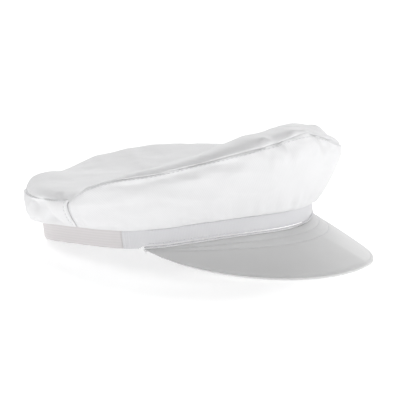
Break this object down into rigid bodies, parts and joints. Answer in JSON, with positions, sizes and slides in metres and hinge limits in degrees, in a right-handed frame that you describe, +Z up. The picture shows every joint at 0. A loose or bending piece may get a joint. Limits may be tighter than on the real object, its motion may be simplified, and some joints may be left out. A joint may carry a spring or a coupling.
{
  "type": "sailor cap",
  "caption": "Soft white sailor cap: puffed cotton crown, ribbon band, elastic strap round the back and a short stiff peak.",
  "frame": {"origin": "on the surface that the cap rests on, under the middle of its box", "axes": "+Z up, -Y forwards over the peak, -X towards the wearer's right"},
  "size_m": [0.2012, 0.2604, 0.0968],
  "materials": {
    "cotton": "matt white cotton twill, soft and slightly wrinkled",
    "ribbon": "smooth ribbed white ribbon with a faint cool sheen",
    "elastic": "woven white elastic with fine lengthwise ribs, faintly warm",
    "peak_cloth": "white cotton drawn tight over a stiff board, with rows of stitching along the edge"
  },
  "bodies": {
    "root": {"crown_top": "cotton", "crown_side_front": "cotton", "crown_side_rear": "cotton", "headband": "ribbon", "elastic_strap": "elastic", "peak_welt": "ribbon", "peak": "peak_cloth"}
  },
  "joints": []
}
